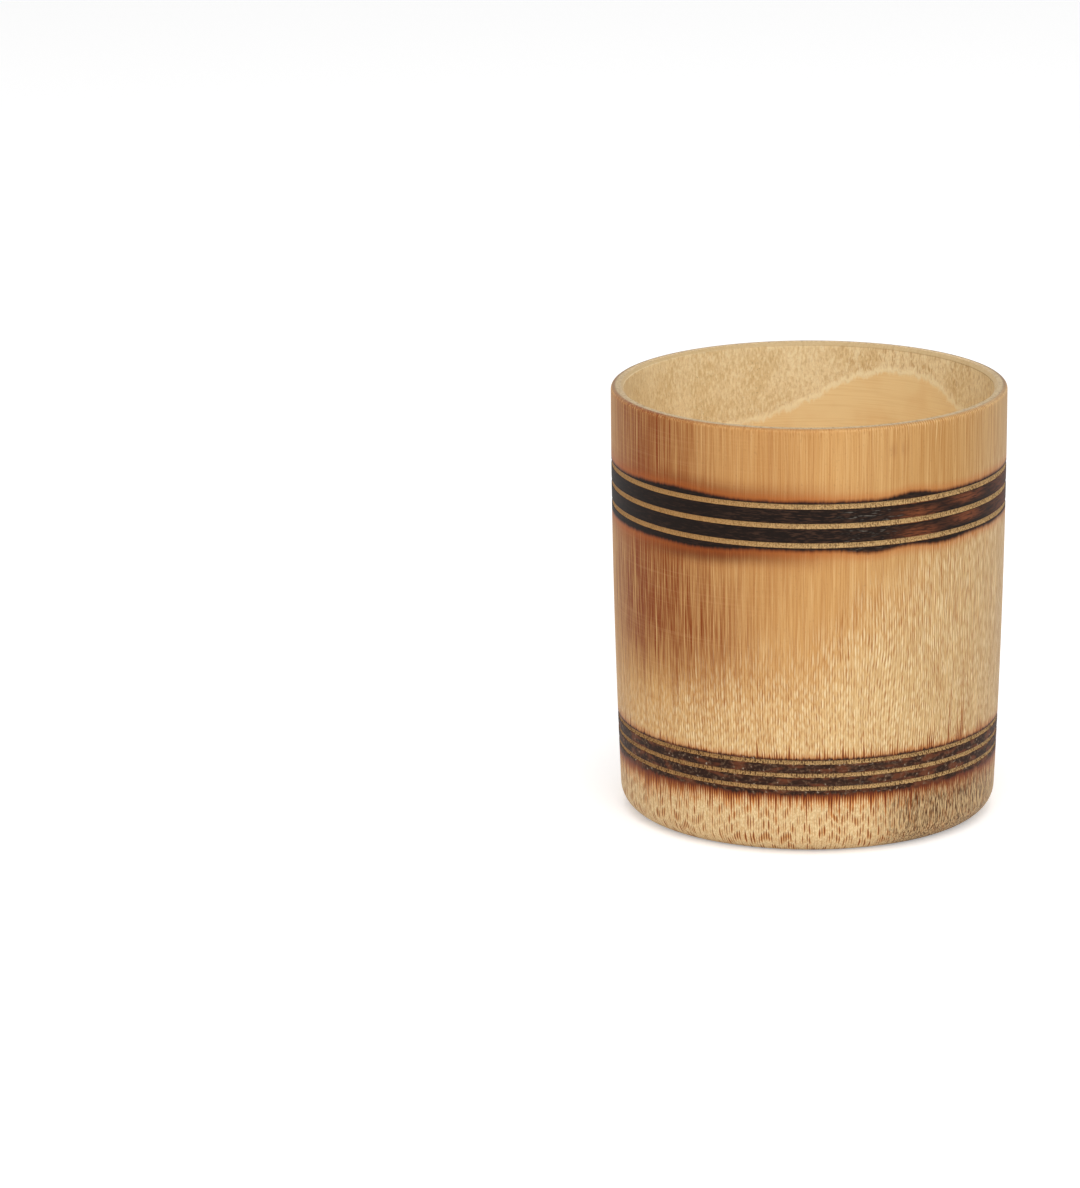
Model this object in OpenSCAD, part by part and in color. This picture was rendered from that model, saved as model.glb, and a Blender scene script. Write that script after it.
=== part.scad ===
// Turned bamboo cup. One section of a culm is the wall, and the culm's node plate is the floor.
// The foot stands on z = 0, and the Z axis is the axis that the outside was turned on.

/* [Outside] */
// Height from the table to the lip
cup_h = 88; // [76:1:110]
// Outside diameter at the lip
rim_d = 80; // [70:1:96]
// How much narrower in radius the turned line is at the foot than at the lip
foot_taper = 2.1; // [0.5:0.1:4]
// Radius of the rounded outer edge of the foot
foot_edge_r = 5; // [2:0.5:6]
// Radius of the rounded outer edge of the lip
rim_edge_r = 0.8; // [0.3:0.1:1]

/* [Grooves] */
// Grooves in each band
groove_count = 3; // [1:1:4]
// Height from the lip down to the middle of the upper band's first groove
upper_band_drop = 15.8; // [8:0.2:24]
// Distance from one groove of the upper band to the next
upper_groove_pitch = 3.95; // [2:0.05:5]
// Width of a groove in the upper band
upper_groove_w = 1.2; // [0.6:0.1:1.8]
// Height of the middle of the lower band's last groove above the table
lower_band_rise = 14.05; // [10:0.05:20]
// Distance from one groove of the lower band to the next
lower_groove_pitch = 2.7; // [1.6:0.05:4]
// Width of a groove in the lower band
lower_groove_w = 0.95; // [0.6:0.05:1.5]
// Depth of every groove
groove_depth = 0.4; // [0.2:0.05:0.7]

/* [Inside] */
// Thickness of the wall at the lip, where the mouth is bored
lip_t = 2.6; // [2.2:0.1:5]
// Width of the bevel on the lip's inner edge
lip_bevel_w = 0.6; // [0.2:0.1:0.9]
// Depth of the bored stretch below the lip
bore_depth = 40; // [20:1:55]
// How much the bore narrows in radius over its depth
bore_taper = 1.8; // [0.5:0.1:3]
// How much smaller in radius the culm's own hollow is than the outside at the lip
hollow_inset = 3.5; // [3.2:0.1:8]
// Distance of the culm's own hollow from the turning axis
hollow_offset = 0.75; // [0:0.05:1]
// Direction in which the culm's own hollow lies off the axis, in degrees from +X towards +Y
hollow_turn = 38; // [0:1:359]

/* [Floor] */
// Radius of the curve from the wall into the floor
floor_fillet_r = 5.5; // [3:0.5:9]
// Height of the floor plate's seat above the table
seat_h = 5; // [4:0.5:12]
// Width of the ledge that carries the floor plate
seat_ledge_w = 2.5; // [1:0.5:5]
// Width of the bevel on the inner edge of the foot ring
foot_bevel_w = 0.6; // [0.2:0.1:1.2]
// Thickness of the floor plate at its edge
plate_t = 3.5; // [2.5:0.1:6]
// How much the top of the floor plate rises in the middle
plate_crown = 1.2; // [0.2:0.1:2]
// How much the underside of the floor plate is hollowed in the middle
plate_dish = 1.6; // [0.2:0.1:2]
// Clearance round the floor plate in its seat
seat_clearance = 0.05; // [0.02:0.01:0.3]

/* [Hidden] */
$fn = 180;
// Straight steps that stand for the turned line and for the floor plate's curves
line_steps = 16;
dish_steps = 8;
// Length by which a cutting shape runs past the face it opens
overrun = 1;
rim_r = rim_d / 2;
hollow_r = rim_r - hollow_inset;
seat_r = hollow_r - floor_fillet_r;
ledge_r = seat_r - seat_ledge_w;
floor_h = seat_h + plate_t;
upper_band_top = cup_h - upper_band_drop;
lower_band_top = lower_band_rise + (groove_count - 1) * lower_groove_pitch;

// Outside radius of the turned line at height z: full at the lip, drawn in towards the foot
function turned_r(z) = rim_r - foot_taper * pow(1 - z / cup_h, 2);

// Radius of the round-nosed tool that cuts a groove of width w to the groove depth
function nose_r(w) = (pow(w / 2, 2) + pow(groove_depth, 2)) / (2 * groove_depth);

// Height above a shallow curve's edge at radius r, on a disc of radius edge_r that rises by rise
function bow(r, edge_r, rise) = rise * (1 - pow(r / edge_r, 2));

// Outline of the turned blank, from the axis out, with its foot and lip edges still to be rounded
module blank_outline() {
    foot_flat_r = turned_r(foot_edge_r) - foot_edge_r;
    rise = cup_h - rim_edge_r - foot_edge_r;
    turned_line = [
        for (i = [0 : line_steps])
            let (z = foot_edge_r + rise * i / line_steps)
                [turned_r(z), z]
    ];
    polygon(concat(
        [[0, 0], [foot_flat_r, 0], [foot_flat_r, foot_edge_r]],
        turned_line,
        [[rim_r - rim_edge_r, cup_h - rim_edge_r], [rim_r - rim_edge_r, cup_h], [0, cup_h]]
    ));
    translate([foot_flat_r, foot_edge_r])
        circle(r = foot_edge_r);
    translate([rim_r - rim_edge_r, cup_h - rim_edge_r])
        circle(r = rim_edge_r);
}

// Sections of one band of grooves, counted down from the first groove's height
module groove_sections(top_z, pitch, w) {
    for (i = [0 : groove_count - 1]) {
        z = top_z - i * pitch;
        translate([turned_r(z) - groove_depth + nose_r(w), z])
            circle(r = nose_r(w));
    }
}

// Moves what grew with the culm to the middle of the culm's own hollow
module on_hollow_axis() {
    translate([hollow_offset * cos(hollow_turn), hollow_offset * sin(hollow_turn), 0])
        children();
}

// Turned outside with both bands of grooves
module turned_blank() {
    rotate_extrude()
        difference() {
            blank_outline();
            groove_sections(upper_band_top, upper_groove_pitch, upper_groove_w);
            groove_sections(lower_band_top, lower_groove_pitch, lower_groove_w);
        }
}

// Conical bore of the mouth, with the bevel on the lip's inner edge
module mouth_bore() {
    bore_r = rim_r - lip_t;
    translate([0, 0, cup_h - bore_depth])
        cylinder(r1 = bore_r - bore_taper, r2 = bore_r, h = bore_depth);
    translate([0, 0, cup_h])
        cylinder(r = bore_r, h = overrun);
    translate([0, 0, cup_h - lip_bevel_w])
        cylinder(r1 = bore_r, r2 = bore_r + lip_bevel_w, h = lip_bevel_w);
}

// The culm's own hollow, curving in to the node plate below
module own_hollow() {
    rotate_extrude()
        difference() {
            translate([0, floor_h])
                square([hollow_r, cup_h - floor_h + overrun]);
            difference() {
                translate([seat_r, floor_h])
                    square(floor_fillet_r);
                translate([seat_r, floor_h + floor_fillet_r])
                    circle(r = floor_fillet_r);
            }
        }
}

// Seat of the floor plate, and the recess inside the foot ring below it
module seat_and_recess() {
    translate([0, 0, seat_h])
        cylinder(r = seat_r, h = plate_t);
    translate([0, 0, -overrun])
        cylinder(r = ledge_r, h = seat_h + 2 * overrun);
    translate([0, 0, -overrun])
        cylinder(r1 = ledge_r + foot_bevel_w + overrun, r2 = ledge_r, h = foot_bevel_w + overrun);
}

// Wall of the cup: the turned blank, opened from the mouth and from the foot
module culm_wall() {
    color("burlywood")
        difference() {
            turned_blank();
            mouth_bore();
            on_hollow_axis() own_hollow();
            on_hollow_axis() seat_and_recess();
        }
}

// Floor of the cup: a thin node plate, crowned above and hollowed below, flat where it is seated
module floor_plate() {
    plate_r = seat_r - seat_clearance;
    crown = [
        for (i = [dish_steps : -1 : 0])
            let (r = plate_r * i / dish_steps)
                [r, plate_t + bow(r, plate_r, plate_crown)]
    ];
    dish = [
        for (i = [0 : dish_steps])
            let (r = ledge_r * i / dish_steps)
                [r, bow(r, ledge_r, plate_dish)]
    ];
    color("tan")
        on_hollow_axis()
            translate([0, 0, seat_h])
                rotate_extrude()
                    polygon(concat(dish, [[plate_r, 0]], crown));
}

culm_wall();
floor_plate();
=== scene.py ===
# A turned bamboo cup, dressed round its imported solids: camera and light first, then the wall from
# its turned outside to its bored inside, then the floor. Lengths are in metres, and materials
# count in millimetres and degrees, turned from the front towards the right.
import math

import bpy
from mathutils import Euler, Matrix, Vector, noise


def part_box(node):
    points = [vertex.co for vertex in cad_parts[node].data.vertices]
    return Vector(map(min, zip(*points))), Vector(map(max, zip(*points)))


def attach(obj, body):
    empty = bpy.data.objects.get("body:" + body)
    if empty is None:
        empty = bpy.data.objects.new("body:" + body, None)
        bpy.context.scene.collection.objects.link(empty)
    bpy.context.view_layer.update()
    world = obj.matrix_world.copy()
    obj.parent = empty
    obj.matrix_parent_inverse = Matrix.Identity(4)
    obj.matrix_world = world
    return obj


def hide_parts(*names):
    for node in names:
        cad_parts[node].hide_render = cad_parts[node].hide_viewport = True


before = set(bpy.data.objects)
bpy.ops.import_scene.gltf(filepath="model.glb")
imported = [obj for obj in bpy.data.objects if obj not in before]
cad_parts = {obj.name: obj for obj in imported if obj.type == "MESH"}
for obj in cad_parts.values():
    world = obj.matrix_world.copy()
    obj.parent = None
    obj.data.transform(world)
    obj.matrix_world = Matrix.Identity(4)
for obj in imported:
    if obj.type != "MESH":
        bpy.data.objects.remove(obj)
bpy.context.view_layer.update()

# The camera of the photograph
# A long lens, some 1.4 m in front of the cup, 0.4 m above the table and a little to the left,
# looking down at it. It keeps the photograph's whole frame, so the cup stands at the right.
# Angles are in degrees, the sensor in millimetres, and the lens as long as a fit to the cup's
# ellipses made it.
frame_height_px = 1188
focal_px = 6800
camera_place = (-0.0545, -1.3360, 0.4005)
camera_pitch = 14.93
camera_roll = 0.35
sensor_long_side = 36.0

bpy.ops.object.camera_add(location=camera_place)
camera = bpy.context.object
camera.name = "photo_camera"
camera.data.sensor_width = sensor_long_side
camera.data.lens = sensor_long_side * focal_px / frame_height_px
aim = Euler((math.radians(90 - camera_pitch), 0, 0)).to_matrix()
camera.rotation_euler = (aim @ Euler((0, 0, math.radians(-camera_roll))).to_matrix()).to_euler()
bpy.context.scene.camera = camera

# The light of the photograph
# A white tent: a broad soft panel in front above the camera, a second one overhead that lights
# the mouth, and an even white surround that fills every side.
front_panel_place = (0.08, -1.10, 0.80)
front_panel_size = (1.0, 0.8)
front_panel_watts = 7.0
front_panel_aim = (0, 0, 0.045)
top_panel_place = (0.05, -0.15, 1.05)
top_panel_size = (0.9, 0.9)
top_panel_watts = 4.0
top_panel_aim = (0, 0, 0.06)
tent_level = 0.55


def soft_panel(name, place, size, watts, aim):
    """A rectangular lamp at place, turned to face the point that it is aimed at."""
    bpy.ops.object.light_add(type="AREA", location=place)
    lamp = bpy.context.object
    lamp.name = name
    lamp.data.shape = "RECTANGLE"
    lamp.data.size, lamp.data.size_y = size
    lamp.data.energy = watts
    look = Vector(aim) - Vector(place)
    lamp.rotation_euler = look.to_track_quat("-Z", "Y").to_euler()


class Finish:
    """One output of a shader node. Sums on it add Math nodes, and node() adds any other node."""

    def __init__(self, socket):
        self.socket = socket

    def node(self, kind, settings, sockets, output=0):
        """A new node in this output's tree: its settings first, then its sockets' values or links.
        What comes back is its output of that number or name."""
        tree = self.socket.id_data
        made = tree.nodes.new(kind)
        for name, value in settings.items():
            setattr(made, name, value)
        for name, value in sockets.items():
            if isinstance(value, Finish):
                tree.links.new(value.socket, made.inputs[name])
            else:
                made.inputs[name].default_value = value
        return Finish(made.outputs[output])

    def also(self, output):
        """Another output of the node that this one comes from."""
        return Finish(self.socket.node.outputs[output])

    def feeds(self, node, name):
        """Links this output to a named socket of a node."""
        self.socket.id_data.links.new(self.socket, node.inputs[name])

    def maths(self, operation, *others):
        return self.node("ShaderNodeMath", {"operation": operation}, dict(enumerate((self, *others))))

    def __add__(self, other):
        return self.maths("ADD", other)

    def __sub__(self, other):
        return self.maths("SUBTRACT", other)

    def __rsub__(self, other):
        return self.node("ShaderNodeMath", {"operation": "SUBTRACT"}, {0: other, 1: self})

    def __mul__(self, other):
        return self.maths("MULTIPLY", other)

    def __truediv__(self, other):
        return self.maths("DIVIDE", other)

    def __pow__(self, other):
        return self.maths("POWER", other)

    def __mod__(self, other):
        return self.maths("FLOORED_MODULO", other)

    def __abs__(self):
        return self.maths("ABSOLUTE")

    __radd__ = __add__
    __rmul__ = __mul__

    def floor(self):
        return self.maths("FLOOR")

    def most(self, other):
        return self.maths("MAXIMUM", other)

    def least(self, other):
        return self.maths("MINIMUM", other)

    def rise(self, low, high):
        """0 up to low and 1 from high, smooth in between. With low above high it falls."""
        sockets = {"Value": self, "From Min": low, "From Max": high}
        return self.node("ShaderNodeMapRange", {"interpolation_type": "SMOOTHSTEP"}, sockets)

    def peak(self, middle, reach):
        """1 at middle, falling smoothly to 0 at reach on either side of it."""
        return abs(self - middle).rise(reach, 0.0)

    def vector(self, y, z):
        return self.node("ShaderNodeCombineXYZ", {}, {"X": self, "Y": y, "Z": z})

    def stretched(self, x, y, z):
        """This vector with its parts multiplied by x, y and z."""
        return self.node("ShaderNodeVectorMath", {"operation": "MULTIPLY"}, {0: self, 1: (x, y, z)})

    def grain(self, detail=2.0, roughness=0.5):
        """Noise from 0 to 1 over this vector, about one grain to each unit."""
        sockets = {"Vector": self, "Scale": 1.0, "Detail": detail, "Roughness": roughness}
        return self.node("ShaderNodeTexNoise", {}, sockets)

    def lot(self):
        """An even random number from 0 to 1 for each value of this vector."""
        return self.node("ShaderNodeTexWhiteNoise", {"noise_dimensions": "3D"}, {"Vector": self})

    def blend(self, first, second):
        """The first colour where this is 0, and the second where it is 1."""
        return self.node("ShaderNodeMix", {"data_type": "RGBA"}, {0: self, 6: first, 7: second}, 2)

    def bump(self, strength, distance):
        """Normals for this relief, whose bumps stand proud by up to distance, in metres."""
        sockets = {"Strength": strength, "Distance": distance, "Height": self}
        return self.node("ShaderNodeBump", {}, sockets)


def colour(red, green, blue):
    """A screen colour from 0 to 255 as the linear colour of the shaders."""
    shares = [value / 255 for value in (red, green, blue)]
    return (*[s / 12.92 if s <= 0.04045 else ((s + 0.055) / 1.055) ** 2.4 for s in shares], 1.0)


soft_panel("front_panel", front_panel_place, front_panel_size, front_panel_watts, front_panel_aim)
soft_panel("top_panel", top_panel_place, top_panel_size, top_panel_watts, top_panel_aim)
tent = bpy.data.worlds.new("white_tent")
bpy.context.scene.world = tent
tent.use_nodes = True
tent_background = tent.node_tree.nodes["Background"]
tent_background.inputs["Color"].default_value = (1, 1, 1, 1)
rays = Finish(tent_background.outputs[0]).node("ShaderNodeLightPath", {}, {}, "Is Camera Ray")
seen_or_mirrored = rays.most(rays.also("Is Glossy Ray")).most(rays.also("Is Transmission Ray"))
(seen_or_mirrored * (1 - tent_level) + tent_level).feeds(tent_background, "Strength")

# The table
# A sheet of white paper that runs far past the picture, lifted to print as white. It keeps the
# cup's soft shadow.
paper_size = 12
paper_white = 0.88
paper_lift = 0.35

bpy.ops.mesh.primitive_plane_add(size=paper_size, location=(0, 0, 0))
table = bpy.context.object
table.name = "white_table"
paper = bpy.data.materials.new("white_paper")
paper.use_nodes = True
paper_shader = paper.node_tree.nodes["Principled BSDF"]
paper_shader.inputs["Base Color"].default_value = (paper_white, paper_white, paper_white, 1)
paper_shader.inputs["Roughness"].default_value = 0.9
paper_shader.inputs["Specular IOR Level"].default_value = 0.1
paper_shader.inputs["Emission Color"].default_value = (1, 1, 1, 1)
paper_rays = Finish(paper_shader.outputs[0]).node("ShaderNodeLightPath", {}, {}, "Is Camera Ray")
(paper_rays * paper_lift).feeds(paper_shader, "Emission Strength")
table.data.materials.append(paper)

# The culm wall
# A length of thick bamboo culm turned on a lathe. Outside it is turned to a line that draws in
# towards the foot, with two bands of round-nosed grooves; inside, the mouth is bored to a thin
# lip down to where the culm's own hollow takes over, and the foot is a ring under the floor.
lip_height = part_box("culm_wall")[1].z
lip_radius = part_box("culm_wall")[1].y
foot_taper = 0.0021
foot_edge = 0.005
lip_edge = 0.0008
groove_depth = 0.0004
upper_band_drop = 0.0158
upper_groove_pitch = 0.00395
upper_groove_width = 0.0012
upper_grooves = [lip_height - upper_band_drop - upper_groove_pitch * step for step in (2, 1, 0)]
lower_band_rise = 0.01405
lower_groove_pitch = 0.0027
lower_groove_width = 0.00095
lower_grooves = [lower_band_rise + lower_groove_pitch * step for step in (0, 1, 2)]
lip_wall = 0.0026
lip_bevel = 0.0006
bore_radius = lip_radius - lip_wall
bore_depth = 0.040
bore_taper = 0.0018
hollow_inset = 0.0035
hollow_radius = lip_radius - hollow_inset
hollow_offset = 0.00075
hollow_turn = math.radians(38)
floor_fillet = 0.0055
seat_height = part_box("floor_plate")[0].z
plate_thickness = 0.0035
floor_height = seat_height + plate_thickness
seat_radius = hollow_radius - floor_fillet
seat_ledge = 0.0025
ledge_radius = seat_radius - seat_ledge
foot_bevel = 0.0006

# Steps of the mesh: round the wall, over the foot's and the lip's edges, across a groove and the
# flat of the lip, down the hollow, round its fillet and over the seat, the recess and the foot
wall_steps = 480
foot_edge_steps = 12
lip_edge_steps = 6
groove_steps = 8
longest_land_step = 0.002
lip_steps = 4
hollow_steps = 60
fillet_steps = 10
seat_steps = 2
recess_steps = 3
foot_steps = 4


def turned_radius(height):
    """Radius of the turned line, full at the lip and drawn in towards the foot."""
    return lip_radius - foot_taper * (1 - height / lip_height) ** 2


def bored_radius(height):
    """Radius of the bored mouth, narrower further down."""
    return bore_radius - bore_taper * (lip_height - height) / bore_depth


def grooved_radius(height, middle, width):
    """Radius at a height inside one groove, cut by a round-nosed tool."""
    nose = ((width / 2) ** 2 + groove_depth**2) / (2 * groove_depth)
    centre = turned_radius(middle) - groove_depth + nose
    return min(turned_radius(height), centre - math.sqrt(nose**2 - (height - middle) ** 2))


def arc(centre, radius, start, end, steps):
    """Points on a circle in the wall's section, by angle from outwards towards up."""
    angles = [math.radians(start + (end - start) * step / steps) for step in range(steps + 1)]
    return [(centre[0] + radius * math.cos(a), centre[1] + radius * math.sin(a)) for a in angles]


def stretch(start, end, steps):
    """Points on the straight way from start to end, without start itself."""
    shares = [step / steps for step in range(1, steps + 1)]
    return [(start[0] + (end[0] - start[0]) * s, start[1] + (end[1] - start[1]) * s) for s in shares]


# Section of the outside, from the foot's rounded edge up over lands and grooves to the lip's edge,
# which stands last in the row as a cut of no width
foot_flat = turned_radius(foot_edge) - foot_edge
outside = arc((foot_flat, foot_edge), foot_edge, -90, 0, foot_edge_steps)
cuts = [(middle, lower_groove_width) for middle in lower_grooves]
cuts += [(middle, upper_groove_width) for middle in upper_grooves]
cuts += [(lip_height - lip_edge, 0)]
for middle, width in cuts:
    bottom = middle - width / 2
    below = outside[-1][1]
    land_steps = max(2, round((bottom - below) / longest_land_step))
    land = [below + (bottom - below) * step / land_steps for step in range(1, land_steps)]
    outside += [(turned_radius(height), height) for height in land]
    if width:
        across_groove = [middle + width * (step / groove_steps - 0.5) for step in range(groove_steps + 1)]
        outside += [(grooved_radius(height, middle, width), height) for height in across_groove]
outside += arc((lip_radius - lip_edge, lip_height - lip_edge), lip_edge, 0, 90, lip_edge_steps)

# Section of the inside, from the lip's bevel down to the seat of the floor, and the foot ring. Its
# long straight stretch is moved out to the bore and the culm's own hollow once it is turned
inside = [(bore_radius + lip_bevel, lip_height), (bore_radius, lip_height - lip_bevel)]
inside += stretch(inside[-1], (hollow_radius, floor_height + floor_fillet), hollow_steps)
inside += arc((seat_radius, floor_height + floor_fillet), floor_fillet, 0, -90, fillet_steps)[1:]
inside += stretch(inside[-1], (seat_radius, seat_height), seat_steps)
inside += stretch(inside[-1], (ledge_radius, seat_height), seat_steps)
inside += stretch(inside[-1], (ledge_radius, foot_bevel), recess_steps)
inside += [(ledge_radius + foot_bevel, 0)]
wall_section = outside + stretch(outside[-1], inside[0], lip_steps)[:-1] + inside
wall_section += stretch(inside[-1], outside[0], foot_steps)[:-1]


first_plane_size = 0.001


def draw_section(name, section):
    """Draws a section in the XZ plane, vertex by vertex, as a new object: a small plane is merged
    to the first vertex, which is extruded to the next, and so on."""
    bpy.ops.object.select_all(action="DESELECT")
    first_place = (section[0][0], 0, section[0][1])
    bpy.ops.mesh.primitive_plane_add(size=first_plane_size, location=first_place)
    drawn = bpy.context.object
    drawn.name = name
    bpy.ops.object.mode_set(mode="EDIT")
    bpy.ops.mesh.merge(type="CENTER")
    for here, there in zip(section, section[1:]):
        step = (there[0] - here[0], 0, there[1] - here[1])
        bpy.ops.mesh.extrude_vertices_move(TRANSFORM_OT_translate={"value": step})
    bpy.ops.mesh.select_all(action="DESELECT")
    bpy.ops.object.mode_set(mode="OBJECT")
    bpy.ops.object.transform_apply(location=True)
    return drawn


merge_distance = 0.000001
smooth_up_to = math.radians(30)


def turn_section(drawn, steps):
    """Turns a drawn section once round the Z axis."""
    turning = drawn.modifiers.new("turning", "SCREW")
    turning.angle = 2 * math.pi
    turning.steps = steps
    turning.render_steps = steps
    turning.use_merge_vertices = True
    turning.merge_threshold = merge_distance
    bpy.ops.object.modifier_apply(modifier="turning")


def close_up():
    """Merges the active piece's turned seam, turns its normals outward and smooths all but its
    sharp edges."""
    bpy.ops.object.mode_set(mode="EDIT")
    bpy.ops.mesh.select_all(action="SELECT")
    bpy.ops.mesh.remove_doubles(threshold=merge_distance)
    bpy.ops.mesh.normals_make_consistent(inside=False)
    bpy.ops.object.mode_set(mode="OBJECT")
    bpy.ops.object.shade_smooth_by_angle(angle=smooth_up_to)


# The section is closed between its first and last points and turned
wall = draw_section("turned_culm_wall", wall_section)
for end in (0, len(wall_section) - 1):
    wall.data.vertices[end].select = True
bpy.ops.object.mode_set(mode="EDIT")
bpy.ops.mesh.edge_face_add()
bpy.ops.object.mode_set(mode="OBJECT")
turn_section(wall, wall_steps)

# The hollow grew with the culm, so it lies off the turning axis and waves a little. Its skin has a
# flat at the back, a flat on the right and a swell between them, each given by how far it stands
# in or out, its direction and its reach, both in degrees from the right towards the back
skin_forms = [(-0.00012, 94, 15), (-0.00032, 22, 24), (0.00006, 62, 14)]
skin_wave = 0.00004
skin_waves_per_metre = (110, 110, 40)
skin_fade = 0.01
lip_slant = 0.0003
slant_start = 0.076


def hollow_edge(angle, radius):
    """Distance from the turning axis to a circle round the hollow's own axis, in one direction."""
    away = angle - hollow_turn
    reach = radius**2 - (hollow_offset * math.sin(away)) ** 2
    return hollow_offset * math.cos(away) + math.sqrt(reach)


def skin_swell(point, angle):
    """How far the culm's own skin stands in or out at a point."""
    swell = skin_wave * (1 + noise.noise(point * Vector(skin_waves_per_metre)))
    for stand, middle, reach in skin_forms:
        swell += stand * math.exp(-(((math.degrees(angle) - middle) / reach) ** 2))
    return swell


# Below the bevel, each point of the inside moves out to the hollow or, where that is wider, to the
# bore. The lip leans down a little towards the left
first_inside = len(outside) + lip_steps - 1
hollow_rows = range(first_inside + 2, first_inside + len(inside))
for vertex in wall.data.vertices:
    point = vertex.co
    row = vertex.index % len(wall_section)
    angle = math.atan2(point.y, point.x)
    if row in hollow_rows:
        above_fillet = point.z - floor_height - floor_fillet
        if above_fillet > 0:
            own = hollow_edge(angle, hollow_radius)
            own += skin_swell(point, angle) * min(1, above_fillet / skin_fade)
            own = max(own, bored_radius(point.z))
        else:
            own = hollow_edge(angle, wall_section[row][0])
        point.x = own * math.cos(angle)
        point.y = own * math.sin(angle)
    if point.z > slant_start:
        lean = (point.z - slant_start) / (lip_height - slant_start)
        point.z -= lip_slant * lean * (1 - point.x / lip_radius) / 2

close_up()

# The frame counts in metres, and the patterns in millimetres
to_mm = 1000


def new_finish(name, roughness):
    """A material with its main shader, and the place on the cup that its pattern reads."""
    material = bpy.data.materials.new(name)
    material.use_nodes = True
    shader = material.node_tree.nodes["Principled BSDF"]
    shader.inputs["Roughness"].default_value = roughness
    place = Finish(shader.outputs[0]).node("ShaderNodeTexCoord", {}, {}, "Object")
    return material, shader, place.stretched(to_mm, to_mm, to_mm)


def round_the_cup(place):
    """Turn in degrees from the front towards the right, radius and height, in millimetres."""
    x = place.node("ShaderNodeSeparateXYZ", {}, {0: place})
    y = x.also("Y")
    turn = x.maths("ARCTAN2", y * -1) * math.degrees(1)
    return turn, (x * x + y * y) ** 0.5, x.also("Z")


# Fibre bundles stand round the cup in two sets of columns, the second half a column further on. A
# pattern turned by a quarter of a column falls between both
bundle_columns = 230
between_bundles = 360 / bundle_columns / 4


def columns_of(turn, seed):
    """For each set of bundles: its shift, and the column, the place across it and its lot."""
    for half in (0, 0.5):
        column_place = turn * (bundle_columns / 360) + half
        column = column_place.floor()
        across = abs(column_place - column - 0.5)
        column = column % bundle_columns
        yield half, column, across, column.vector(seed, half).lot()


def spindles(turn, rows, slim, stout, seed, stagger=0.85, weave=1.0, faint=0.5):
    """Bundles cut at a slant, each a spindle in its cell of column and row. Half its width is from
    slim to stout, in columns. A column's lot shifts its rows by up to stagger, the second set is
    shifted by half of weave, and the faintest has the strength faint: below 0, some are missing."""
    shape = None
    for half, column, across, lot in columns_of(turn, seed):
        row_place = rows + lot * stagger + half * weave
        row = row_place.floor()
        along = (row_place - row - 0.5) * 2
        cell_lot = column.vector(row, seed + half).lot()
        spindle = (1 - along * along) * (cell_lot * (stout - slim) + slim) - across
        spindle = spindle.rise(-0.04, 0.06) * (cell_lot * (1 - faint) + faint)
        shape = spindle.most(0.0) if shape is None else shape.most(spindle)
    return shape


def spikes(turn, distance, shortest, longest, width, seed):
    """Bundles that took the heat of a band: spikes that start at distance 0 and run to a point.
    Most are short, and width is half that of the widest at its foot, in columns."""
    shape = None
    for half, column, across, lot in columns_of(turn, seed):
        reach = lot * lot * lot * (longest - shortest) + shortest
        width_lot = column.vector(seed + 1, half).lot() * 0.7 + 0.3
        spike = ((1 - distance / reach) * width * width_lot - across).rise(-0.03, 0.06)
        shape = spike if shape is None else shape.most(spike)
    return shape * distance.rise(-0.3, 0.1)


bamboo, bamboo_shader, place = new_finish("turned_bamboo", 0.42)
bamboo_shader.inputs["Specular IOR Level"].default_value = 0.14
turn, radius, height = round_the_cup(place)
wall_height = lip_height * to_mm
wall_radius = lip_radius * to_mm

# The fibres run upright with a slight sway. Where they meet the turned surface at a slant, below a
# line that lies higher on the right, their long lines break up into short spindles and strokes
sway = place.stretched(0.06, 0.06, 0.03).grain(1.0) - 0.5
ripple = place.stretched(1.0, 1.0, 0.45).grain(1.0) - 0.5
fibre_turn = turn + sway * 5 + ripple * 0.3
slow_wave = place.stretched(0.07, 0.07, 0.02).grain() - 0.5
to_the_right = (turn * math.radians(1)).maths("SINE")
line_end = to_the_right.maths("SMOOTH_MAX", -0.05, 0.3) * 38 + 43
line_end = line_end - to_the_right.rise(-0.5, -0.9) * 8
below_line_end = line_end + slow_wave * 12 - height
slant = below_line_end.maths("SMOOTH_MAX", 0.0, 14.0)
low_down = (46 - height).maths("SMOOTH_MAX", 0.0, 10.0)
spindle_rows = slant * 0.28 + low_down * low_down * 0.006 + below_line_end * 0.012
dark = spindles(fibre_turn, spindle_rows, slim=0.03, stout=0.12, seed=3.0)
pale_turn = fibre_turn + between_bundles
pale = spindles(pale_turn, spindle_rows + 0.4, slim=0.04, stout=0.15, seed=5.0)
short_share = height.rise(46, 28) * to_the_right.rise(0.82, 0.34)
long_strokes = place.stretched(3.0, 3.0, 0.26).grain(2.0, 0.6)
short_strokes = place.stretched(3.0, 3.0, 0.50).grain(2.0, 0.6)
strokes = long_strokes * (1 - short_share) + short_strokes * short_share

# Streaks along the fibres, and a fine speckle
hairs = place.stretched(3.8, 3.8, 0.05).grain(2.0, 0.7)
streaks = place.stretched(2.0, 2.0, 0.03).grain(2.0)
broad_streaks = place.stretched(0.6, 0.6, 0.02).grain(2.0, 0.6)
speckle = place.stretched(3.0, 3.0, 1.6).grain(1.0)
turning_lines = place.stretched(0.05, 0.05, 2.4).grain(1.0)

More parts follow.
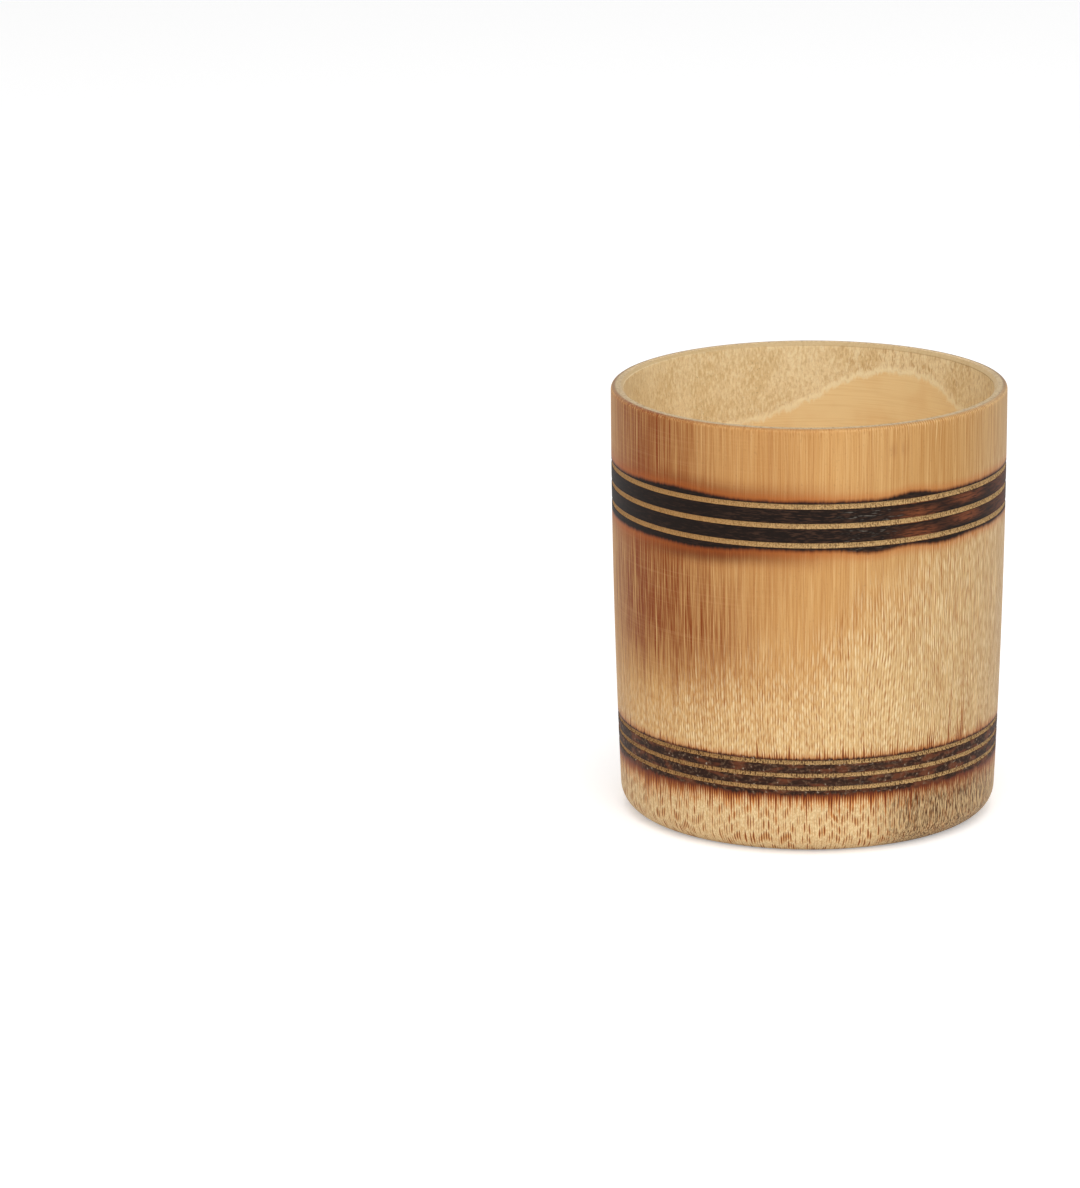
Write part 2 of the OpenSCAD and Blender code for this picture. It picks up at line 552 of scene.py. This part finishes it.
# Ground: honey above, cream below, greyer towards the right
broken_up = below_line_end.rise(-8, 12)
to_cream = below_line_end.rise(0, 26)
ground = to_cream.blend(colour(208, 156, 94), colour(224, 186, 128))
ground = (to_the_right.rise(0.0, 0.87) * 0.65).blend(ground, colour(186, 154, 106))
ground = (to_the_right.rise(-0.45, -0.9) * 0.5).blend(ground, colour(216, 164, 92))
body = (strokes.rise(0.51, 0.66) * broken_up * 0.4).blend(ground, colour(250, 230, 184))
body = (strokes.rise(0.48, 0.34) * broken_up * 0.45).blend(body, colour(176, 110, 50))
body = (pale * (broken_up * 0.60 + 0.06)).blend(body, colour(252, 232, 186))
body = (dark * (broken_up * 0.60 + 0.14)).blend(body, colour(154, 86, 34))
hair_share = to_the_right.rise(0.0, 0.8) * 0.25 + 0.32
body = (hairs.rise(0.5, 0.72) * hair_share).blend(body, colour(160, 98, 46))
body = (hairs.rise(0.5, 0.28) * hair_share).blend(body, colour(240, 202, 144))
body = (streaks.rise(0.5, 0.7) * (0.26 - broken_up * 0.1)).blend(body, colour(164, 102, 50))
body = (streaks.rise(0.5, 0.3) * (0.20 - broken_up * 0.1)).blend(body, colour(234, 192, 132))

# Toast: the left was held in the heat longer, down to where the streaks run out. It ends low in a
# darker blob, and fainter warm patches lie in the middle and on the right
below_band = height.rise(70, 56)
toast_streaks = streaks.rise(0.34, 0.66) * 0.30 + hairs.rise(0.36, 0.64) * 0.5
toast_depth = toast_streaks * (below_band * 0.45 + 1) + 0.42 - below_band * 0.16
toast = turn.peak(-58, 44) * (height + broad_streaks * 28).rise(38, 60) * toast_depth
blob = turn.peak(-28, 24) * height.peak(46, 18) * (toast_streaks * 0.4 + 0.16)
toast = (toast + blob) * (1 - strokes.rise(0.5, 0.66) * broken_up * 0.5)
body = toast.blend(body, colour(134, 62, 16))
middle_patch = turn.peak(-13, 20) * height.rise(42, 62)
right_patch = turn.peak(40, 32) * height.rise(56, 70)
body = (middle_patch * 0.24).blend(body, colour(160, 92, 32))
body = (right_patch * 0.36).blend(body, colour(184, 122, 44))
facing_left = to_the_right.rise(0.2, -0.5)
body = (turning_lines.rise(0.5, 0.8) * facing_left * 0.12).blend(body, colour(224, 172, 116))

# Under the lip the cut ends of the bundles show, and one smudge has stayed
under_lip = wall_height - height
end_marks = spindles(fibre_turn, under_lip * 0.7, slim=0.0, stout=0.13, seed=7.0)
end_marks = end_marks * under_lip.rise(3.0, 0.8)
body = (end_marks * 0.5).blend(body, colour(168, 110, 56))
pale_ends = spikes(pale_turn, under_lip, shortest=1.0, longest=9.0, width=0.16, seed=9.0)
pale_ends = pale_ends * to_the_right.rise(0.17, 0.56)
body = (pale_ends * 0.4).blend(body, colour(240, 208, 154))
smudge = turn.peak(24, 4) * height.peak(wall_height - 5, 2.4) * broad_streaks.rise(0.35, 0.6)
body = (smudge * 0.55).blend(body, colour(140, 84, 50))

# Foot: cream, with the scorched ends of bundles in rows that zigzag round the cup, and darker and
# greyer on the right
lower_top = (lower_grooves[2] + lower_groove_width / 2) * to_mm
lower_bottom = (lower_grooves[0] - lower_groove_width / 2) * to_mm
foot = height.rise(lower_bottom + 1, lower_bottom - 1)
zigzags_per_turn = 54
zigzag = abs((turn * (zigzags_per_turn / 360) + slow_wave * 3) % 1.0 - 0.5) * 1.5
foot_rows = height * 0.40 + zigzag + slow_wave * 3
foot_right = turn.rise(14, 34) * turn.rise(98, 58)
foot_grit = place.stretched(3.2, 3.2, 2.0).grain(2.0, 0.7)
foot_ground = foot_grit.rise(0.35, 0.65).blend(colour(242, 214, 164), colour(220, 186, 134))
foot_ground = (strokes.rise(0.48, 0.34) * 0.5).blend(foot_ground, colour(206, 152, 90))
foot_ground = (foot_right * 0.7).blend(foot_ground, colour(172, 138, 94))
dash_share = height.rise(11.5, 9.5) * (1 - foot_right * 0.5)
in_zigzag = {"seed": 31.0, "stagger": 0.12, "weave": 0.1, "faint": -0.1}
foot_halo = spindles(fibre_turn, foot_rows + 0.06, slim=0.10, stout=0.26, **in_zigzag)
foot_ground = (foot_halo * dash_share * 0.8).blend(foot_ground, colour(212, 142, 72))
foot_dashes = spindles(fibre_turn, foot_rows, slim=0.04, stout=0.11, **in_zigzag)
foot_ground = (foot_dashes * dash_share * 1.6).least(1.0).blend(foot_ground, colour(120, 54, 22))
foot_specks = place.stretched(3.6, 3.6, 0.40).grain(2.0, 0.75)
foot_lines = foot_specks.rise(0.48, 0.58) * 0.9 + hairs.rise(0.48, 0.58) * height.rise(5, 11) * 0.6
foot_lines = (foot_lines * (foot_right * 0.9 + 0.08)).least(1.0)
foot_ground = foot_lines.blend(foot_ground, colour(80, 46, 26))
pale_specks = foot_specks.rise(0.46, 0.34) * foot_right
foot_ground = (pale_specks * 0.7).blend(foot_ground, colour(232, 202, 154))
body = foot.blend(body, foot_ground)

# Char: friction-burnt lands between and round the grooves. Its edge is ragged along the fibres, and
# counts in millimetres from the black, which reaches further in some places than in others
upper_top = (upper_grooves[2] + upper_groove_width / 2) * to_mm
upper_bottom = (upper_grooves[0] - upper_groove_width / 2) * to_mm
ragged = place.stretched(1.8, 1.8, 0.15).grain(1.0) - 0.5
slow_ragged = place.stretched(0.25, 0.25, 0.02).grain(1.0)
over_reach = turn.peak(-45, 26) * 0.7 + turn.peak(29, 12) * 0.8 + slow_ragged * 0.3
under_reach = turn.peak(16, 12) * 0.7 + turn.peak(40, 12) * 0.6 + slow_ragged * 0.3
under_reach = under_reach + to_the_right.rise(-0.24, -0.60) * 0.85
over_upper = (height - upper_top - over_reach) * 1.1
under_upper = upper_bottom - height - under_reach
over_lower = (height - lower_top) * 1.6 - slow_ragged * 0.4
under_lower = lower_bottom - height - slow_ragged * 1.2
from_upper = over_upper.most(under_upper) + ragged * 0.5
from_char = from_upper.least(over_lower.most(under_lower) + ragged * 1.6)
black = from_char.rise(0.45, -0.15)

# Scorched bundles run out of the lower band, up as spikes and down as drips, each with a glow of
# brown round a darker core. The wood near both bands is browned too, most of all on the left
above_lower = (height - lower_top) * (2.1 - turn.peak(48, 44) * 1.5)
above_glow = spikes(fibre_turn, above_lower, shortest=1.0, longest=11.0, width=0.42, seed=41.0)
above_spikes = spikes(fibre_turn, above_lower, shortest=0.7, longest=10.0, width=0.28, seed=41.0)
below_lower = (lower_bottom - height) * (1 - to_the_right.rise(-0.34, -0.82) * 0.2)
drips = spikes(fibre_turn, below_lower, shortest=4.0, longest=9.5, width=0.60, seed=43.0)
drip_cores = spikes(fibre_turn, below_lower, shortest=3.0, longest=8.5, width=0.38, seed=43.0)
glow_left = from_upper.rise(4.6, 0.6) * turn.peak(-32, 42) * under_upper.rise(-0.5, 0.2)
warm_share = to_the_right.rise(0.41, -0.17) * 0.5
body = (from_upper.rise(6.0, 0.0) * warm_share).blend(body, colour(158, 80, 24))
glow_over = from_upper.rise(5.0, 0.3) * turn.peak(-36, 44) * over_upper.rise(-0.5, 0.2) * 0.6
body = (glow_over * (1 - hairs.rise(0.5, 0.3) * 0.4)).blend(body, colour(106, 48, 16))
body = (glow_left * (1 - hairs.rise(0.5, 0.3) * 0.3)).blend(body, colour(84, 32, 10))
char_glow = from_char.rise(2.8, 0.0) * 0.55 * (1 - foot * (foot_right * 0.4 + 0.4))
body = char_glow.blend(body, colour(180, 92, 32))
body = (above_glow * 0.6).blend(body, colour(206, 128, 56))
body = (above_spikes * 0.9).blend(body, colour(118, 56, 22))
body = (drips * (0.9 - foot_right * 0.5)).blend(body, colour(204, 124, 54))
body = (below_lower.rise(2.6, 0.6) * foot * 0.7).blend(body, colour(128, 60, 26))
body = drip_cores.blend(body, colour(112, 48, 20))
body = (from_char.rise(1.0, 0.0) * 0.85).blend(body, colour(84, 38, 20))

# Lands: coal black, with brown streaks along the turning where the tool rubbed, stronger in front
# as a painted sheen, and grey streaks right of the front that are a painted highlight. They are
# brown on the right where the heat was less, and browner and speckled in the lower band
rubbed_and_sheen_streaks = place.stretched(0.4, 0.4, 3.4).grain(2.0, 0.7)
land_grit = place.stretched(1.6, 1.6, 1.6).grain(1.0)
land_patches = place.stretched(0.3, 0.3, 0.9).grain(1.0)
in_lower_band = height.rise(30, 25)
# Painted sheen: the brown streaks are stronger towards the front
brown_streaks_and_sheen = rubbed_and_sheen_streaks.rise(0.46, 0.70) * (turn.peak(4, 46) * 0.6 + 0.25)
coal = brown_streaks_and_sheen.blend(colour(26, 16, 11), colour(76, 52, 39))
# Painted highlight: pale grey streaks on the lands a little right of the front
coal = (rubbed_and_sheen_streaks.rise(0.42, 0.30) * turn.peak(16, 14) * 0.9).blend(coal, colour(120, 112, 102))
coal = (in_lower_band * (land_patches.rise(0.45, 0.7) * 0.7 + 0.1)).blend(coal, colour(112, 62, 38))
coal = (in_lower_band * land_grit.rise(0.5, 0.65) * 0.4).blend(coal, colour(118, 92, 70))
coal = (in_lower_band * land_grit.rise(0.70, 0.76) * 0.6).blend(coal, colour(190, 172, 150))
upper_step = upper_groove_pitch * to_mm
lower_step = lower_groove_pitch * to_mm
in_land = ((height - upper_bottom) / upper_step) % 1.0
less_heat = turn.peak(31, 12) * in_land.rise(1.0, 0.5) + turn.peak(50, 13) * in_land.rise(0.35, 0.7)
less_heat = (less_heat + turn.peak(74, 18) * 0.6) * (rubbed_and_sheen_streaks.rise(0.34, 0.60) * 0.7 + 0.2)
in_upper_band = height.rise(upper_bottom - 0.1, upper_bottom + 0.2)
in_upper_band = in_upper_band * height.rise(upper_top + 0.1, upper_top - 0.2)
coal = (less_heat * in_upper_band).least(1.0).blend(coal, colour(124, 68, 40))

# Grooves: cut through the burnt skin into pale end grain. The dark ends of the bundles lie in two
# rows, one near each edge, so that a groove looks like a cord
drawn_in = 1 - height / wall_height
cut_depth = wall_radius - foot_taper * to_mm * drawn_in * drawn_in - radius
in_groove = (cut_depth + ragged * (in_lower_band * 0.25 + 0.1)).rise(0.08, 0.18)
in_groove = in_groove * height.rise(8, 9) * height.rise(wall_height - 2, wall_height - 3)
upper_rows_per_step = 4
lower_rows_per_step = 3
upper_rows = (height - upper_grooves[0] * to_mm) * (upper_rows_per_step / upper_step)
lower_rows = (height - lower_grooves[0] * to_mm) * (lower_rows_per_step / lower_step)
dot_rows = lower_rows * in_lower_band + upper_rows * (1 - in_lower_band) + 0.25
end_dots = spindles(turn, dot_rows, slim=0.06, stout=0.22, seed=13.0, stagger=0.25, faint=0.2)
groove_grit = place.stretched(4.2, 4.2, 4.2).grain(2.0, 0.7)
dot_share = (to_the_right.rise(-0.5, 0.5) * 0.4 + 0.3).most(in_lower_band * 0.9)
groove_wood = groove_grit.rise(0.40, 0.60).blend(colour(214, 178, 122), colour(166, 128, 82))
groove_wood = (to_the_right.rise(0.0, -0.7) * 0.7).blend(groove_wood, colour(176, 128, 74))
groove_wood = (groove_grit.rise(0.54, 0.66) * dot_share).blend(groove_wood, colour(100, 68, 40))
groove_wood = (end_dots * dot_share).blend(groove_wood, colour(80, 50, 28))
body = in_groove.blend(body, groove_wood)
body = (speckle.rise(0.6, 0.8) * 0.15).blend(body, colour(110, 74, 42))

# The outer edge of the lip is darker brown, most of all at the back
lip_rounding = radius.rise(wall_radius - 0.1, wall_radius - 0.4)
lip_rounding = lip_rounding * height.rise(wall_height - 3, wall_height - 2)
body = (lip_rounding * (abs(turn).rise(60, 100) * 0.55 + 0.25)).blend(body, colour(112, 84, 58))
body.feeds(bamboo_shader, "Base Color")
(in_groove * 0.2 + speckle * 0.1 + 0.4).feeds(bamboo_shader, "Roughness")
relief = pale * 0.3 - dark * 0.3 + strokes * broken_up * 0.5 + hairs * 0.3 - end_dots * in_groove
relief.bump(0.35, 0.00008).feeds(bamboo_shader, "Normal")

# Char reflects less than the wood, so that it has a shader of its own
char_normal = (rubbed_and_sheen_streaks * 0.6 + land_grit * 0.4).bump(0.4, 0.00008)
char_sockets = {"Base Color": coal, "Roughness": 0.55, "Specular IOR Level": 0.12, "Normal": char_normal}
char = coal.node("ShaderNodeBsdfPrincipled", {}, char_sockets)
charred = black * (1 - in_groove)
wood_and_char = {0: charred, 1: Finish(bamboo_shader.outputs[0]), 2: char}
bamboo_output = bamboo.node_tree.nodes["Material Output"]
charred.node("ShaderNodeMixShader", {}, wood_and_char).feeds(bamboo_output, "Surface")

# Lip and foot ring: end grain, paler at the back, with a brown line along the lip's outer edge
end_grain, end_grain_shader, end_place = new_finish("lip_end_grain", 0.6)
end_turn, end_radius = round_the_cup(end_place)[:2]
pores = end_place.stretched(2.6, 2.6, 2.6).grain(1.0)
at_the_back = abs(end_turn).rise(95, 125)
lip_wood = at_the_back.blend(colour(188, 164, 124), colour(214, 184, 136))
lip_wood = (pores.rise(0.5, 0.66) * 0.6).blend(lip_wood, colour(150, 118, 78))
lip_ends = spindles(end_turn, end_radius * 1.1, slim=0.0, stout=0.24, seed=19.0, faint=-0.3)
lip_wood = (lip_ends * 0.6).blend(lip_wood, colour(116, 84, 50))
edge_line = end_radius.peak(wall_radius - 0.85, 0.3) * (at_the_back * 0.2 + 0.5)
lip_wood = edge_line.blend(lip_wood, colour(124, 98, 70))
lip_wood.feeds(end_grain_shader, "Base Color")

# Inside: bored wood, whose bundle ends show most near the lip at the back on the right, and the
# culm's own smooth skin where the hollow is wider than the bore, with a pale torn edge between
# them. Below the bore there is skin all round
lining, lining_shader, lining_place = new_finish("bored_inside_and_skin", 0.5)
lining_turn, lining_radius, lining_height = round_the_cup(lining_place)
bore_line = (lining_height - wall_height) * (bore_taper / bore_depth) + bore_radius * to_mm
fine = lining_place.stretched(1.2, 1.2, 0.5).grain(2.0, 0.7) - 0.5
steps = lining_place.stretched(0.34, 0.34, 0.0).grain(1.0) - 0.5
skin_depth = lining_radius - bore_line
torn = skin_depth + fine * 0.13 + steps * 0.12
below_bevel = lining_height.rise(wall_height - 2, wall_height - 3)
bore_end = wall_height - bore_depth * to_mm
below_bore = lining_height.rise(bore_end, bore_end - 2)
skin = (torn.rise(0.065, 0.085) * below_bevel).most(below_bore)
cloud = lining_place.stretched(0.12, 0.12, 0.12).grain(2.0, 0.6)
flecks = lining_place.stretched(1.9, 1.9, 0.8).grain(2.0, 0.6)
grit = lining_place.stretched(3.4, 3.4, 2.4).grain(2.0, 0.7)
rippled_turn = (lining_place.stretched(0.7, 0.7, 0.5).grain(1.0) - 0.5) * 2.5 + lining_turn
dark_ends = spindles(rippled_turn, lining_height * 0.55, slim=0.0, stout=0.24, seed=23.0, faint=0.0)
near_lip = (lining_height + cloud * 4).rise(wall_height - 9, wall_height - 1)
back_right = lining_turn.rise(60, 110) * lining_turn.rise(180, 150)
bored = cloud.rise(0.3, 0.7).blend(colour(240, 216, 168), colour(226, 198, 146))
bored = (flecks.rise(0.50, 0.64) * 0.5).blend(bored, colour(252, 236, 194))
bored = (flecks.rise(0.48, 0.34) * 0.34).blend(bored, colour(194, 158, 102))
bored = (grit.rise(0.5, 0.7) * 0.3).blend(bored, colour(182, 148, 96))
bored = (dark_ends * (near_lip * back_right * 0.40 + 0.12)).blend(bored, colour(176, 128, 72))
specks = grit.rise(0.64, 0.72) * cloud.rise(0.5, 0.66) * (1 - back_right)
bored = (specks * 0.6).blend(bored, colour(118, 96, 60))
# Painted shade: the bored wood is darker on the left, most of all towards the front
left_shade = lining_turn.rise(-135, -60) * lining_turn.rise(0, -60)
bored = (left_shade * 0.4).blend(bored, colour(186, 160, 112))
on_bevel = lining_height.rise(wall_height - 0.95, wall_height - 0.65)
bored = (on_bevel * 0.75).blend(bored, colour(176, 146, 98))
skin_lines = lining_place.stretched(0.08, 0.08, 3.0).grain(1.0)
skin_look = (skin_lines.rise(0.4, 0.75) * 0.3).blend(colour(244, 214, 158), colour(222, 182, 122))
skin_look = (cloud.rise(0.4, 0.7) * 0.3).blend(skin_look, colour(226, 178, 116))
lining_look = skin.blend(bored, skin_look)
torn_edge = torn.peak(0.06, 0.055) * skin_depth.rise(0.010, 0.022) * below_bevel * (1 - below_bore)
lining_look = (torn_edge * 0.85).blend(lining_look, colour(254, 236, 192))
lining_look.feeds(lining_shader, "Base Color")
(flecks * 0.3 + 0.4 - skin * 0.1).feeds(lining_shader, "Roughness")
lining_relief = (1 - skin) * (flecks + grit * 0.3 - dark_ends * 0.3) + skin_lines * 0.1
lining_relief.bump(0.4, 0.00015).feeds(lining_shader, "Normal")


def wall_finish(centre):
    """The finish of the wall's face with this centre: end grain on the lip, the foot and the recess,
    bored wood and skin on the inside, and turned bamboo on the outside."""
    spread = math.hypot(centre.x, centre.y)
    if centre.z > lip_height / 2:
        if spread < bore_radius + lip_bevel:
            return lining
        return end_grain if spread < lip_radius - lip_edge else bamboo
    if centre.z < foot_edge / 2 and spread < foot_flat:
        return end_grain
    if centre.z > seat_height and spread < bore_radius:
        return lining
    return end_grain if spread < ledge_radius + hollow_offset + foot_bevel else bamboo


wall_finishes = (bamboo, end_grain, lining)
for finish in wall_finishes:
    wall.data.materials.append(finish)
for face in wall.data.polygons:
    face.material_index = wall_finishes.index(wall_finish(face.center))

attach(wall, "root")
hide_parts("culm_wall")

# The floor plate
# The thin wall that closes a bamboo culm at each joint. It sits in the wall's seat, crowned on top,
# where it keeps its own skin, and dished underneath, where it was cut clean.
plate_low, plate_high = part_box("floor_plate")
plate_radius = (plate_high.x - plate_low.x) / 2
plate_centre = ((plate_low.x + plate_high.x) / 2, (plate_low.y + plate_high.y) / 2)
plate_crown = plate_high.z - floor_height
plate_dish = 0.0016
plate_bevel = 0.0002
plate_wave = 0.00008
plate_waves_per_metre = 160
plate_steps = 180
dish_steps = 12
crown_steps = 20


def bow(reach, edge, rise):
    """Height above a shallow curve's edge."""
    return rise * (1 - (reach / edge) ** 2)


# Section from the middle of the underside round the edge to the middle of the top
dish_reaches = [ledge_radius * step / dish_steps for step in range(dish_steps + 1)]
top_radius = plate_radius - plate_bevel
crown_reaches = [top_radius * step / crown_steps for step in range(crown_steps, -1, -1)]
plate_section = [(reach, seat_height + bow(reach, ledge_radius, plate_dish)) for reach in dish_reaches]
plate_section += [(plate_radius, seat_height), (plate_radius, floor_height - plate_bevel)]
plate_section += [(reach, floor_height + bow(reach, plate_radius, plate_crown)) for reach in crown_reaches]
plate = draw_section("node_floor_plate", plate_section)
turn_section(plate, plate_steps)
close_up()

# The top is a little wavy, most in the middle, and the plate lies on the hollow's own axis
for vertex in plate.data.vertices:
    point = vertex.co
    if point.z > floor_height:
        reach = math.hypot(point.x, point.y)
        wave = noise.noise(Vector((point.x, point.y, 0)) * plate_waves_per_metre)
        point.z -= plate_wave * (1 + wave) * (1 - reach / plate_radius)
    point.x += plate_centre[0]
    point.y += plate_centre[1]

# Rings of fibre round the middle, browner there and at the rim, with the ends of bundles
node_plate, plate_shader, plate_place = new_finish("node_plate", 0.55)
middle = (plate_centre[0] * to_mm, plate_centre[1] * to_mm, 0)
from_middle = {0: plate_place, 1: middle}
plate_place = plate_place.node("ShaderNodeVectorMath", {"operation": "SUBTRACT"}, from_middle)
plate_reach = round_the_cup(plate_place)[1]
swirl = plate_place.stretched(0.16, 0.16, 0.16).grain(1.0)
fibres = (plate_reach * 1.1 + swirl * 6).vector(swirl * 4, 0.0).grain(2.0, 0.6)
bundle_ends = plate_place.stretched(2.2, 2.2, 0.6).grain(2.0, 0.6)
plate_look = (fibres.rise(0.4, 0.65) * 0.45).blend(colour(240, 212, 160), colour(216, 176, 118))
plate_look = (bundle_ends.rise(0.52, 0.70) * 0.4).blend(plate_look, colour(178, 134, 84))
plate_rim = plate_reach.rise(plate_radius * to_mm - 4, plate_radius * to_mm)
plate_look = (plate_rim * 0.5).blend(plate_look, colour(180, 130, 78))
plate_look = (plate_reach.rise(5, 0) * 0.3).blend(plate_look, colour(192, 146, 92))
plate_look.feeds(plate_shader, "Base Color")
(fibres * 0.6 + bundle_ends * 0.4).bump(0.4, 0.0001).feeds(plate_shader, "Normal")
plate.data.materials.append(node_plate)

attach(plate, "root")
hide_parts("floor_plate")

# The picture
# Colours print as they are written.
bpy.context.scene.view_settings.view_transform = "Standard"
